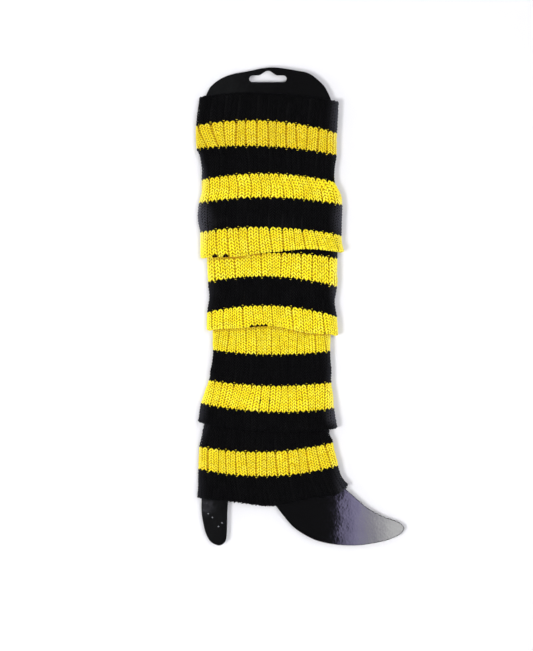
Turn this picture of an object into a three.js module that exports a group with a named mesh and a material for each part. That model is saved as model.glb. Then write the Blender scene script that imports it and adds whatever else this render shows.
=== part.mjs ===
// A rib-knitted leg warmer in black and yellow stripes, pushed up into folds on a flat card cut to the outline of a leg
// in a heeled shoe. It lies on its back: +X across the leg, +Y up the leg, +Z out of the front. Millimetres.
import * as THREE from "three";

// Board and knit
const CARD_THICKNESS = 1.0;
const RIBS = 28; // ribs round the tube, each two knit wales and one purl wale
const WALL = 2.3; // the knitted wall at the crest of a rib
const GROOVE = 1.2; // how far the purl wale lies below the crest
const CREST_START = 0.24; // where the crest starts and ends, as shares of one rib
const CREST_END = 0.76;
const SEAM_GAP = 0.3; // between two layers that touch
const EDGE_RADIUS = WALL / 2; // the rounded edge of one layer

// Folds: the tube turns under at the bottom of a tier, runs back up behind it and turns down again as the next tier
const FOLD_WALL = 2 * WALL; // the two layers at a fold, knitted wall against knitted wall
const FOLD_REACH = 11; // how far the layer that turns under runs back up
const TURN_REACH = 2.4; // how much farther its hidden upper turn takes up
const REST_HEIGHT = 7.6; // from the surface it lies on to the middle of the card
const SINGLE_RISE = CARD_THICKNESS / 2 + SEAM_GAP + WALL; // from the middle of the card to a crest of one layer
const NEXT_TIER_RISE = SINGLE_RISE + SEAM_GAP; // room for the next tier under a fold
const FOLD_RISE = NEXT_TIER_RISE + FOLD_WALL; // from the middle of the card to a crest over a fold
const PRESS_FADE = 1; // height over which the underside's ribs are pressed flat

// Where the rounded edges have their rings, in degrees round from the outer face to the inner one
const EDGE_ANGLES = [40, 90];
const FOLD_ANGLES = [40, 90, 140, 180];

// Spacing of the sections along the leg
const OUTER_STEP = 11;
const INNER_STEP = 17;

// How far the cloth stands off the middle of the card, by the distance above a fold's edge
const DRAPE = table(
  ["above", "rise"],
  [
    [0, FOLD_RISE],
    [11, FOLD_RISE - 0.1],
    [15, FOLD_RISE - 0.7],
    [21, 5.7],
    [29, 4.1],
    [38, 3.4],
    [50, SINGLE_RISE],
  ],
);

// Lines of the knit from the hem up. left and right are the tube's sides, measured from the hang slot's middle.
// yLeft, yMiddle and yRight are the line's heights above the lowest point of the hem, and swellLeft and swellRight
// move it halfway between them.
const LINE_COLUMNS = ["left", "right", "yLeft", "yMiddle", "yRight", "swellLeft", "swellRight"];
const TIER_4_LINES = table(LINE_COLUMNS, [
  [-60.5, 67.3, 6.8, 0.9, 15.3, 0.6, 2.2], // hem
  [-60.2, 62.4, 16.5, 10.8, 22.6, 0.3, 1.0],
  [-59.9, 58.4, 31.0, 24.7, 33.6, 0, 0], // ninth yellow stripe to last black
  [-58.9, 54.6, 49.7, 45.1, 53.1, 0, 0], // ninth black stripe to ninth yellow
  [-56.6, 51.8, 61.0, 56.0, 60.0, 0, 0],
  [-54.9, 51.6, 70.6, 63.3, 65.5, 0, 0], // third fold's edge
  [-53.2, 51.4, 81.1, 73.8, 76.0, 0, 0], // the end hidden in the fold
]);
const TIER_3_LINES = table(LINE_COLUMNS, [
  [-60.2, 58.4, 70.6, 63.3, 65.5, 0, 0], // third fold's edge
  [-57.6, 55.6, 86.7, 79.5, 82.5, 0, 0], // seventh yellow stripe to eighth black
  [-54.6, 54.8, 95.6, 89.6, 92.8, 0, 0],
  [-50.8, 53.3, 105.8, 101.2, 104.1, 0, 0], // seventh black stripe to seventh yellow
  [-48.7, 52.9, 118.4, 114.4, 117.2, 0, 0],
  [-47.4, 52.0, 131.8, 127.9, 130.9, 0, 0], // sixth yellow stripe to seventh black
  [-48.0, 52.8, 148.8, 152.6, 144.5, -1.1, -3.0], // second fold's edge
  [-47.6, 52.8, 159.3, 163.1, 155.0, -1.1, -3.0], // the end hidden in the fold
]);
const TIER_2_LINES = table(LINE_COLUMNS, [
  [-52.9, 59.2, 148.8, 152.6, 144.5, -1.1, -3.0], // second fold's edge
  [-52.5, 57.9, 163.6, 169.2, 159.8, 0, 0], // fifth black stripe to fifth yellow
  [-50.8, 56.4, 176.5, 181.6, 172.6, 0, 0],
  [-51.7, 57.5, 189.6, 194.2, 185.7, 0, 0], // fourth yellow stripe to fifth black
  [-53.0, 58.4, 210.8, 215.0, 212.4, -1.0, 1.0], // first fold's edge
  [-52.8, 57.3, 221.3, 226.4, 225.6, -1.6, 1.6], // the end hidden in the fold
]);
const TIER_1_LINES = table(LINE_COLUMNS, [
  [-58.1, 63.8, 210.8, 215.9, 215.1, -1.6, 1.6], // first fold's edge
  [-58.5, 61.9, 231.6, 235.9, 228.7, 0, 0], // third black stripe to third yellow
  [-60.4, 62.2, 243.8, 248.4, 241.6, 0, 0],
  [-59.3, 62.2, 256.7, 261.4, 255.0, 0, 0], // second yellow stripe to third black
  [-56.9, 61.0, 267.0, 271.4, 264.6, 0, 0],
  [-56.4, 56.2, 276.3, 281.4, 274.1, 0, 0], // second black stripe to second yellow
  [-58.4, 56.0, 289.4, 293.0, 286.0, 0, 0],
  [-60.6, 57.1, 302.6, 304.7, 297.5, 0, 0], // first yellow stripe to second black
  [-61.9, 58.0, 322.2, 326.4, 315.8, 0, 0], // first black stripe to first yellow
  [-58.9, 58.8, 345.6, 349.8, 341.0, 0, 0], // mouth
]);

// The card's outline, clockwise from the left shoulder, each stretch a smooth curve
const CARD_OUTLINE = {
  head: [[-49.6, 355.3], [-41.9, 361.7], [-32.1, 365.9], [-18.3, 368.6], [2.3, 372], [24.8, 369.1],
    [34.2, 366.8], [41.8, 361.4], [48.2, 354.5], [53.6, 343]],
  shin: [[53.2, 300], [51.8, 270], [51.8, 240], [51, 205], [49.6, 170], [48.4, 150], [47.9, 130], [47.6, 105],
    [47.2, 75], [49.4, 50], [53.8, 33], [60.4, 17.8]],
  instep: [[68.6, 9.4], [76.8, 3.2], [85.2, -3.7], [96.9, -9.5], [107.4, -13.4], [113.2, -16.7], [115.2, -20]],
  sole: [[108.7, -25.8], [95.6, -31], [78.7, -33.9], [65.6, -34.3], [52.6, -33], [39.6, -29.8], [27.9, -23.8],
    [20.1, -18], [12.2, -8.8], [5.7, -0.4]],
  waist: [[-5, 9.5], [-17, 15], [-28, 14], [-33.8, 8], [-35.2, -6]],
  heel: [[-35.6, -17], [-36.4, -28.4], [-38.7, -33], [-43.2, -33.9], [-49.1, -30.3], [-53, -23.2], [-55.6, -14.1],
    [-56.9, -4.9], [-56.9, 6]],
  calf: [[-54.6, 32], [-51.4, 55], [-49.4, 75], [-46.2, 96], [-43.8, 118], [-43, 140], [-44.2, 162], [-46.6, 185],
    [-48.8, 212], [-51, 245], [-52.2, 280], [-53.6, 320], [-53.8, 347]],
};
const CARD_START = [-53.8, 347];
const CURVE_STEPS = 2; // straight steps for each row of a curve

// Hang slot, a bar with round ends and a low dome in the middle of its upper side
const SLOT = { middle: -0.7, length: 31.75, bottom: 359.5, barHeight: 5.6, domeWidth: 17, domeHeight: 4 };
const SLOT_STEPS = 6;

const COLOURS = { board: 0x0b0b0d, yellow: 0xf4d91d, black: 0x101012 };

function table(columns, rows) {
  return rows.map((row) => Object.fromEntries(columns.map((name, i) => [name, row[i]])));
}

// A smooth curve through each column of a table, read at a value of the column named key
function curveThrough(rows, key) {
  const columns = Object.keys(rows[0]);
  const curve = new THREE.CubicInterpolant(
    rows.map((row) => row[key]),
    rows.flatMap((row) => columns.map((name) => row[name])),
    columns.length,
  );
  return (at) => {
    const values = curve.evaluate(at);
    return Object.fromEntries(columns.map((name, i) => [name, values[i]]));
  };
}

const riseAbove = curveThrough(DRAPE, "above");

// How much a line rises or dips at a share of the way from the tube's left side to its right
function heightAcross(line, share) {
  const bend =
    line.yLeft * 2 * (share - 0.5) * (share - 1) -
    line.yMiddle * 4 * share * (share - 1) +
    line.yRight * 2 * share * (share - 0.5);
  const swell = Math.sin(2 * Math.PI * share) ** 2 * (share < 0.5 ? line.swellLeft : line.swellRight);
  return bend + swell;
}

// The middle layer of a flattened tube: a point on the card's plane and the way out of it, for a share of the way
// round from the left side, over the front, the right side and the back
function wayOut(line, rise, share) {
  const flat = line.right - line.left - 2 * rise;
  const corner = (Math.PI / 2) * rise;
  const front = share < 0.5 ? 1 : -1;
  const along = (share < 0.5 ? share : 1 - share) * 2 * (flat + 2 * corner);
  const overLeft = Math.min(along, corner) / rise;
  const overRight = Math.max(along - corner - flat, 0) / rise;
  return {
    x: line.left + rise + THREE.MathUtils.clamp(along - corner, 0, flat),
    outX: Math.sin(overRight) - Math.cos(overLeft),
    outZ: front * Math.sin(overLeft) * Math.cos(overRight),
  };
}

// One closed ring of points. inset gives how far a point lies inside the crests and up how far above the line, both
// from the depth of the groove there, which is 0 on a crest and fades where the underside is pressed flat.
function ring(line, rise, ribbed, inset, up = () => 0) {
  const shares = [];
  for (let rib = 0; rib < RIBS; rib++) {
    if (ribbed) shares.push(rib / RIBS, (rib + CREST_START) / RIBS, (rib + CREST_END) / RIBS);
    else shares.push((rib + 0.5) / RIBS);
  }
  const pressed = 1 - THREE.MathUtils.clamp((REST_HEIGHT - rise) / PRESS_FADE, 0, 1);
  return shares.map((share, i) => {
    const { x, outX, outZ } = wayOut(line, rise, share);
    const groove = ribbed && i % 3 === 0 ? GROOVE * (1 - pressed * Math.max(0, -outZ)) : 0;
    const out = rise - inset(groove);
    const across = (x + outX * rise - line.left) / (line.right - line.left);
    return new THREE.Vector3(
      x + outX * out,
      heightAcross(line, across) + up(groove),
      Math.max(outZ * out, -REST_HEIGHT) + REST_HEIGHT,
    );
  });
}

// The ribbed outer face of one layer of knit, and its plain inner face
const outerRing = (line, rise) => ring(line, rise, true, (groove) => groove);
const innerRing = (line, rise) => ring(line, rise, false, () => WALL);

// Values from one to another, both included, in equal steps no longer than step
function spaced(from, to, step) {
  const count = Math.max(1, Math.ceil(Math.abs(to - from) / step));
  return Array.from({ length: count + 1 }, (_, i) => from + ((to - from) * i) / count);
}

// A line of the knit moved up or down the tier, with the shape that the tier has there
function lineReader(lines) {
  const read = curveThrough(lines, "yMiddle");
  return (y) => {
    const line = read(y);
    const beyond = y - line.yMiddle;
    return {
      ...line,
      yLeft: line.yLeft + beyond,
      yMiddle: y,
      yRight: line.yRight + beyond,
    };
  };
}

// The rounded edge of a wall, from its outer face to its inner one, below a line or above it
function edgeRings(line, rise, wall, upwards, angles) {
  return angles.map((degrees) => {
    const angle = THREE.MathUtils.degToRad(degrees);
    const outside = degrees <= 90;
    const reach = (groove) => wall / 2 - (outside ? groove : 0);
    const sign = upwards ? -1 : 1;
    return ring(
      line,
      rise,
      true,
      (groove) => wall / 2 - reach(groove) * Math.cos(angle),
      (groove) => sign * (wall / 2 - reach(groove) * Math.sin(angle)),
    );
  });
}

// A tube's closed wall from rings that follow its section: down the outside, round the lower edge, up the inside
function wall(rings) {
  const points = rings.flat();
  const starts = [];
  rings.reduce((total, each) => (starts.push(total), total + each.length), 0);
  const index = [];
  rings.forEach((a, i) => {
    const j = (i + 1) % rings.length;
    const b = rings[j];
    const at = (start, list, k) => start + (k % list.length);
    if (a.length === b.length) {
      for (let k = 0; k < a.length; k++) {
        const [p, q] = [at(starts[i], a, k), at(starts[i], a, k + 1)];
        const [r, s] = [at(starts[j], b, k), at(starts[j], b, k + 1)];
        index.push(p, r, q, q, r, s);
      }
      return;
    }
    const fine = a.length > b.length;
    const [from, to] = fine ? [starts[i], starts[j]] : [starts[j], starts[i]];
    const [many, few] = fine ? [a, b] : [b, a];
    const face = (p, q, r) => (fine ? index.push(q, p, r) : index.push(p, q, r));
    for (let rib = 0; rib < few.length; rib++) {
      const hub = at(to, few, rib);
      for (let k = 0; k < 3; k++) face(at(from, many, 3 * rib + k), at(from, many, 3 * rib + k + 1), hub);
      face(at(from, many, 3 * rib + 3), at(to, few, rib + 1), hub);
    }
  });
  const geometry = new THREE.BufferGeometry().setFromPoints(points);
  geometry.setIndex(index);
  return geometry;
}

// A tier that ends in a fold, from the line at its lowest to the line at its highest
function foldedTier(lines, roundedTop) {
  const lineAt = lineReader(lines);
  const bottom = lines[0].yMiddle;
  const top = lines[lines.length - 1].yMiddle;
  const risenAt = (y) => riseAbove(y - bottom).rise;
  const outerTop = roundedTop ? top - EDGE_RADIUS : top;
  const turn = bottom + FOLD_REACH;
  return wall([
    ...(roundedTop ? edgeRings(lineAt(top), risenAt(top), WALL, true, EDGE_ANGLES.toReversed()) : []),
    ...spaced(outerTop, bottom + FOLD_WALL / 2, OUTER_STEP).map((y) => outerRing(lineAt(y), risenAt(y))),
    ...edgeRings(lineAt(bottom), FOLD_RISE, FOLD_WALL, false, FOLD_ANGLES),
    ring(lineAt(turn), risenAt(turn), true, () => risenAt(turn) - NEXT_TIER_RISE),
    ...spaced(turn + TURN_REACH, outerTop, INNER_STEP).map((y) => innerRing(lineAt(y), risenAt(y))),
  ]);
}

// The last tier, one layer from under the third fold to the bound-off hem
function hemTier(lines) {
  const lineAt = lineReader(lines);
  const bottom = lines[0].yMiddle;
  const top = lines[lines.length - 1].yMiddle;
  const edge = bottom + EDGE_RADIUS;
  return wall([
    ...spaced(top, edge, OUTER_STEP).map((y) => outerRing(lineAt(y), SINGLE_RISE)),
    ...edgeRings(lineAt(bottom), SINGLE_RISE, WALL, false, EDGE_ANGLES),
    ...spaced(edge, top, INNER_STEP).map((y) => innerRing(lineAt(y), SINGLE_RISE)),
  ]);
}

function hangSlot() {
  const { middle, length, bottom, barHeight, domeWidth, domeHeight } = SLOT;
  const radius = barHeight / 2;
  const end = length / 2 - radius;
  const top = bottom + barHeight;
  const slot = new THREE.Path();
  slot.absarc(middle - end, bottom + radius, radius, -Math.PI / 2, Math.PI / 2, true);
  slot.lineTo(middle - domeWidth / 2, top);
  slot.bezierCurveTo(
    middle - domeWidth / 4, top,
    middle - domeWidth / 4, top + domeHeight,
    middle, top + domeHeight,
  );
  slot.bezierCurveTo(
    middle + domeWidth / 4, top + domeHeight,
    middle + domeWidth / 4, top,
    middle + domeWidth / 2, top,
  );
  slot.absarc(middle + end, bottom + radius, radius, Math.PI / 2, -Math.PI / 2, true);
  slot.closePath();
  return slot.getPoints(SLOT_STEPS).reverse(); // a hole runs the other way round from its outline
}

function displayCard() {
  const outline = new THREE.Shape();
  outline.moveTo(...CARD_START);
  for (const stretch of Object.values(CARD_OUTLINE)) {
    outline.splineThru(stretch.map(([x, y]) => new THREE.Vector2(x, y)));
  }
  const shape = new THREE.Shape(outline.getPoints(CURVE_STEPS));
  shape.holes.push(new THREE.Path(hangSlot()));
  const board = new THREE.ExtrudeGeometry(shape, { depth: CARD_THICKNESS, bevelEnabled: false });
  return board.translate(0, 0, REST_HEIGHT - CARD_THICKNESS / 2);
}

const leg = new THREE.Group();
function add(name, geometry, colour, roughness) {
  const mesh = new THREE.Mesh(geometry, new THREE.MeshStandardMaterial({ color: colour, roughness, metalness: 0 }));
  mesh.name = name;
  leg.add(mesh);
}
add("display_card", displayCard(), COLOURS.board, 0.12);
add("tier_1", foldedTier(TIER_1_LINES, true), COLOURS.black, 0.9);
add("tier_2", foldedTier(TIER_2_LINES, false), COLOURS.yellow, 0.9);
add("tier_3", foldedTier(TIER_3_LINES, false), COLOURS.yellow, 0.9);
add("tier_4", hemTier(TIER_4_LINES), COLOURS.black, 0.9);

// The origin is on the surface it lies on, under the middle of the whole
const reach = new THREE.Box3().setFromObject(leg);
leg.position.set(-(reach.min.x + reach.max.x) / 2, -(reach.min.y + reach.max.y) / 2, -reach.min.z);
leg.updateMatrixWorld(true);

export default leg;
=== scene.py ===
import math

import bmesh
import bpy
import numpy as np
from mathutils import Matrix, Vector


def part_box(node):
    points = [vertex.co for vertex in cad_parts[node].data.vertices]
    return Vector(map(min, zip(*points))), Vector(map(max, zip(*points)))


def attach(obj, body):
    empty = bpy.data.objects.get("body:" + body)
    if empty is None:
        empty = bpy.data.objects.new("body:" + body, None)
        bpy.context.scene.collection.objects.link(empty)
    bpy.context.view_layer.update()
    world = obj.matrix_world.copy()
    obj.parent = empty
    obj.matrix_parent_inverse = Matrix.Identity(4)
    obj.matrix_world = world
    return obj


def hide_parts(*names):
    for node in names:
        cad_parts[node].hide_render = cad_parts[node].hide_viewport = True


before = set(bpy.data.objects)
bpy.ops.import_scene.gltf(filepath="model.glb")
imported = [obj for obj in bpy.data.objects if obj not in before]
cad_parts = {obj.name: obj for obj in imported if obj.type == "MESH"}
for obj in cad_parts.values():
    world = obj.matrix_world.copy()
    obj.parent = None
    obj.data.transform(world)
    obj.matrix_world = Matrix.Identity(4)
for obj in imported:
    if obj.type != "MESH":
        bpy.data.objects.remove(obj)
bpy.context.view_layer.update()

# Display card
# The real piece is a stiff board, 1 mm thick, die-cut to the outline of a leg in a heeled shoe, black all
# through and laminated with a clear gloss film. Its head has a hang slot, and its toe has taken a slight
# bow.
MM = 0.001
BOARD = 1.0  # thickness in mm
CUT_EDGE = 0.45  # the rounding that the cutting rule leaves along the edge, in mm
FILM_TILT = 0.97  # a face turned further from the front or back than this is the cut edge
CURVE_STEPS = 8  # straight steps between two points of the outline
BEND_CELL = 5.0  # spacing of the cuts that let the board bow, in mm
TOE_BOW = (34.0, 115.2, 2.4)  # where the bow starts and ends across the card, and its tip's drop, in mm
CARD_REACH = (115.2, -34.35)  # the toe's tip from the slot, and the sole's lowest point from the hem
CARD_START = (-53.8, 347)
CARD_OUTLINE = {
    "head": [(-49.6, 355.3), (-41.9, 361.7), (-32.1, 365.9), (-18.3, 368.6), (2.3, 372), (24.8, 369.1),
             (34.2, 366.8), (41.8, 361.4), (48.2, 354.5), (53.6, 343)],
    "shin": [(53.2, 300), (51.8, 270), (51.8, 240), (51, 205), (49.6, 170), (48.4, 150), (47.9, 130), (47.6, 105),
             (47.2, 75), (49.4, 50), (53.8, 33), (60.4, 17.8)],
    "instep": [(69.6, 9.8), (76.2, 3.9), (84.8, -3.1), (97.2, -9.9), (107.4, -13.4), (113.0, -16.4), (115.2, -20)],
    "sole": [(113.4, -23.4), (108.8, -26.8), (97.0, -31), (78.7, -34.1), (65.6, -34.3), (52.6, -33), (39.6, -29.8),
             (27.9, -23.8), (20.1, -18), (12.2, -8.8), (5.7, -0.4)],
    "waist": [(-5, 9.5), (-17, 15), (-28, 14), (-33.8, 8), (-35.2, -6)],
    "heel": [(-35.4, -17), (-36.1, -28.4), (-38.7, -33), (-43.2, -34.3), (-49.6, -31), (-53.7, -23.6),
             (-56, -14.1), (-57.2, -4.9), (-57.2, 6)],
    "calf": [(-54.6, 32), (-51.4, 55), (-49.4, 75), (-46.2, 96), (-43.8, 118), (-43, 140), (-44.2, 162),
             (-46.6, 185), (-48.8, 212), (-51, 245), (-52.2, 280), (-53.6, 320), (-53.8, 347)],
}
SLOT = {"middle": -0.7, "length": 31.75, "bottom": 359.5, "bar": 5.6, "dome_width": 17.0, "dome_height": 4.0}

card_low, card_high = (Vector(corner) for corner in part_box("display_card"))
slot_line = card_high.x / MM - CARD_REACH[0]  # the hang slot's middle, across the whole
hem_line = card_low.y / MM - CARD_REACH[1]  # the lowest point of the hem, up the whole
card_level = (card_low.z + card_high.z) / 2 / MM


def placed(points):
    """Points in mm from the slot's middle, the hem and the card's middle layer, in metres in the whole's frame."""
    return (np.asarray(points, dtype=float) + (slot_line, hem_line, card_level)) * MM


def smooth_through(points, steps):
    """A uniform Catmull-Rom curve through points, without its last one."""
    ends = np.array([points[0], *points, points[-1]], dtype=float)
    t = np.linspace(0, 1, steps, endpoint=False)[:, None]
    spans = []
    for a, b, c, d in zip(ends, ends[1:], ends[2:], ends[3:]):
        square = 2 * a - 5 * b + 4 * c - d
        cube = 3 * b - a - 3 * c + d
        spans.append(0.5 * (2 * b + (c - a) * t + square * t**2 + cube * t**3))
    return np.vstack(spans)


def slot_outline():
    """The hang slot: a bar with round ends and a low dome on its upper side."""
    radius = SLOT["bar"] / 2
    end = SLOT["length"] / 2 - radius
    middle, half = SLOT["middle"], SLOT["dome_width"] / 2
    low, top = SLOT["bottom"], SLOT["bottom"] + SLOT["bar"]
    turn = np.linspace(0, math.pi, 13)
    left = np.column_stack([middle - end - radius * np.sin(turn), low + radius * (1 - np.cos(turn))])
    right = np.column_stack([middle + end + radius * np.sin(turn), low + radius * (1 + np.cos(turn))])
    across = np.linspace(-1, 1, 21)
    dome_rise = SLOT["dome_height"] * (0.5 + 0.5 * np.cos(math.pi * across))
    dome = np.column_stack([middle + half * across, top + dome_rise])
    return np.vstack([left, dome, right])


def mesh_object(name, mesh):
    piece = bpy.data.objects.new(name, mesh)
    bpy.context.collection.objects.link(piece)
    return piece


def linear(hex_colour):
    """An sRGB hex colour as linear values with full alpha."""
    channels = [int(hex_colour[i:i + 2], 16) / 255 for i in (1, 3, 5)]
    return tuple(c / 12.92 if c <= 0.04045 else ((c + 0.055) / 1.055) ** 2.4 for c in channels) + (1.0,)


def add_node(tree, kind, settings=None, **links):
    """A node with its settings, and its inputs linked or set to values. __ in a name stands for a space."""
    node = tree.nodes.new(kind)
    for key, value in (settings or {}).items():
        setattr(node, key, value)
    for key, value in links.items():
        socket = node.inputs[int(key[1:])] if key[0] == "_" else node.inputs[key.replace("__", " ")]
        if isinstance(value, bpy.types.NodeSocket):
            tree.links.new(value, socket)
        else:
            socket.default_value = value
    return node


def new_material(name):
    material = bpy.data.materials.new(name)
    material.use_nodes = True
    return material, material.node_tree, material.node_tree.nodes["Principled BSDF"]


# Black gloss laminated board: a clear polyester film over black board, so the eye sees sharp but slightly
# rippled reflections, with the fine orange peel of hot lamination. The ripples are drawn a little coarse so
# that they show.
PEEL = 1.8  # spacing of the film's ripples in mm
SCUFF_GLINTS = [(-51.5, -7.3), (-47.9, -10.5), (-39.8, -15.2), (-42.8, -18.2)]  # painted glints of scuffs on the heel's film, in mm as for the outline
SCUFF_GLINT_SIZE = 0.55  # its radius in mm
REFLECTION_PATCH = (-53.5, -1.0)  # the middle of a lighter mottled patch on the heel: a painted reflection
REFLECTION_PATCH_REACH = 11.0
laminate, tree, shader = new_material("black_gloss_laminated_board")
place = add_node(tree, "ShaderNodeTexCoord").outputs["Object"]
peel = add_node(tree, "ShaderNodeTexNoise", Vector=place, Scale=1 / (PEEL * MM), Detail=2.0, Roughness=0.5)
sag = add_node(tree, "ShaderNodeTexNoise", Vector=place, Scale=1 / (14 * MM), Detail=1.0, Roughness=0.4)
ripple = add_node(tree, "ShaderNodeBump", Strength=1.0, Distance=0.014 * MM, Height=peel.outputs["Fac"])
bowed = add_node(tree, "ShaderNodeBump", Strength=1.0, Distance=0.05 * MM, Height=sag.outputs["Fac"],
                 Normal=ripple.outputs["Normal"])
scuff = add_node(tree, "ShaderNodeTexNoise", Vector=place, Scale=1 / (0.7 * MM), Detail=4.0)
rough = add_node(tree, "ShaderNodeMapRange", Value=scuff.outputs["Fac"], From__Min=0.35, From__Max=0.75,
                 To__Min=0.03, To__Max=0.06)
tree.links.new(bowed.outputs["Normal"], shader.inputs["Normal"])
tree.links.new(rough.outputs["Result"], shader.inputs["Roughness"])
shader.inputs["IOR"].default_value = 1.64
# Painted glints: small grey marks where scuffs on the heel's film catch the light.
glint_noise = add_node(tree, "ShaderNodeTexNoise", Vector=place, Scale=1 / (0.5 * MM), Detail=2.0)
scuff_glints = 0.0
for x, y in SCUFF_GLINTS:
    off = add_node(tree, "ShaderNodeVectorMath", {"operation": "DISTANCE"}, _0=place,
                   _1=tuple(placed([x, y, BOARD / 2])))
    ragged = add_node(tree, "ShaderNodeMath", {"operation": "MULTIPLY_ADD"}, _0=glint_noise.outputs["Fac"],
                      _1=0.8 * MM, _2=off.outputs["Value"])
    glint_mark = add_node(tree, "ShaderNodeMath", {"operation": "LESS_THAN"}, _0=ragged.outputs[0],
                     _1=(SCUFF_GLINT_SIZE + 0.4) * MM)
    scuff_glints = add_node(tree, "ShaderNodeMath", {"operation": "MAXIMUM"}, _0=glint_mark.outputs[0], _1=scuff_glints).outputs[0]
# Painted reflection: a mottled, lighter grey patch on the heel's upper left.
patch_off = add_node(tree, "ShaderNodeVectorMath", {"operation": "DISTANCE"}, _0=place,
                    _1=tuple(placed([*REFLECTION_PATCH, BOARD / 2])))
patch_near = add_node(tree, "ShaderNodeMapRange", {"interpolation_type": "SMOOTHSTEP"},
                     Value=patch_off.outputs["Value"], From__Min=REFLECTION_PATCH_REACH * MM, From__Max=2.0 * MM)
patch_noise = add_node(tree, "ShaderNodeTexNoise", Vector=place, Scale=1 / (3.2 * MM), Detail=1.0)
patch_mottle = add_node(tree, "ShaderNodeMapRange", Value=patch_noise.outputs["Fac"], From__Min=0.25, From__Max=0.85)
painted_reflection = add_node(tree, "ShaderNodeMath", {"operation": "MULTIPLY"}, _0=patch_near.outputs["Result"],
                 _1=patch_mottle.outputs["Result"])
with_painted_reflection = add_node(tree, "ShaderNodeMix", {"data_type": "RGBA"}, _0=painted_reflection.outputs[0], _6=linear("#09090A"),
                  _7=linear("#2E2E32"))
board_colour = add_node(tree, "ShaderNodeMix", {"data_type": "RGBA"}, _0=scuff_glints, _6=with_painted_reflection.outputs[2],
                        _7=linear("#6E7074"))
tree.links.new(board_colour.outputs[2], shader.inputs["Base Color"])

# Cut edge of the board: its black core, bare of film and matt, which draws a thin dark line round the gloss.
core_edge, tree, shader = new_material("die_cut_black_board_edge")
place = add_node(tree, "ShaderNodeTexCoord").outputs["Object"]
torn = add_node(tree, "ShaderNodeTexNoise", Vector=place, Scale=1 / (0.25 * MM), Detail=3.0)
frayed = add_node(tree, "ShaderNodeBump", Strength=0.5, Distance=0.05 * MM, Height=torn.outputs["Fac"])
tree.links.new(frayed.outputs["Normal"], shader.inputs["Normal"])
shader.inputs["Base Color"].default_value = linear("#0B0B0D")
shader.inputs["Roughness"].default_value = 0.9
shader.inputs["Specular IOR Level"].default_value = 0.1

outline = np.vstack([
    smooth_through([start, *stretch], CURVE_STEPS)
    for start, stretch in zip(
        [CARD_START] + [stretch[-1] for stretch in CARD_OUTLINE.values()],
        CARD_OUTLINE.values(),
    )
])
board = bmesh.new()
for ring in (outline, slot_outline()):
    corners = [board.verts.new((x, y, 0)) for x, y in ring]
    for a, b in zip(corners, corners[1:] + corners[:1]):
        board.edges.new((a, b))
bmesh.ops.remove_doubles(board, verts=board.verts[:], dist=1e-4)
bmesh.ops.triangle_fill(board, edges=board.edges[:], use_beauty=True, use_dissolve=False, normal=(0, 0, 1))
for axis, low, high in ((0, -60, 116), (1, -35, 373)):
    for cut in np.arange(low, high, BEND_CELL):
        at = Vector((0, 0, 0))
        at[axis] = cut
        across = Vector((0, 0, 0))
        across[axis] = 1
        bmesh.ops.bisect_plane(board, geom=board.verts[:] + board.edges[:] + board.faces[:], plane_co=at,
                               plane_no=across, dist=1e-3)
bow_start, bow_end, bow_drop = TOE_BOW
for vert in board.verts:
    share = max(0.0, (vert.co.x - bow_start) / (bow_end - bow_start)) if vert.co.y < 30 else 0.0
    vert.co.z = -bow_drop * share**2
bmesh.ops.recalc_face_normals(board, faces=board.faces[:])
if sum(face.normal.z for face in board.faces) < 0:
    bmesh.ops.reverse_faces(board, faces=board.faces[:])
for vert in board.verts:
    vert.co.z -= BOARD / 2
front = bmesh.ops.extrude_face_region(board, geom=board.faces[:])
for item in front["geom"]:
    if isinstance(item, bmesh.types.BMVert):
        item.co.z += BOARD
bmesh.ops.recalc_face_normals(board, faces=board.faces[:])
rims = [edge for edge in board.edges if edge.calc_face_angle(0) > math.radians(60)]
bmesh.ops.bevel(board, geom=rims, offset=CUT_EDGE, segments=2, profile=0.5, affect="EDGES")
card_mesh = bpy.data.meshes.new("display_card")
board.to_mesh(card_mesh)
board.free()
corners = np.empty(len(card_mesh.vertices) * 3)
card_mesh.vertices.foreach_get("co", corners)
card_mesh.vertices.foreach_set("co", placed(corners.reshape(-1, 3)).ravel())
card_mesh.materials.append(laminate)
card_mesh.materials.append(core_edge)
for face in card_mesh.polygons:
    face.material_index = int(abs(face.normal.z) < FILM_TILT)
card_mesh.shade_smooth()
card_mesh.set_sharp_from_angle(angle=math.radians(15))
card = mesh_object("leg_card", card_mesh)
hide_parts("display_card")
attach(card, "root")

# Knitted tube, its shells
# The real leg warmer is one seamless tube of 2 by 1 rib in soft acrylic yarn, with its stripes knitted in.
# It is pulled over the card and pushed up into three folds. Each tier is one stretch of it: a closed shell
# of the knit's inner layer, which the stitches below stand on.
RIBS = 28  # of three knitted columns each: one purl in the groove, then two knit
WALL = 2.3  # the knit at the crest of a rib, in mm
REST_HEIGHT = 7.6  # from the surface that it lies on to the card's middle layer
SINGLE_RISE = 3.1  # from the card's middle layer to the crests of one layer
FOLD_RISE = 8.0  # to the crests over a fold
FOLD_REACH = 11.0  # how far the layer that turns under runs back up
TURN_REACH = 2.4
DRAPE = [(0, 8.0), (11, 7.9), (15, 7.3), (21, 5.7), (29, 4.1), (38, 3.4), (50, 3.1)]  # above a fold's edge, rise
CORE_DEPTH = 1.15  # how deep the shell's face lies under the crests, at the knit wales
GROOVE_DEPTH = 1.85  # and under the purl wale
STITCH_REACH = 0.95  # how far a stitch stands out from its own depth, which keeps the pressed ones off the surface

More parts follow.
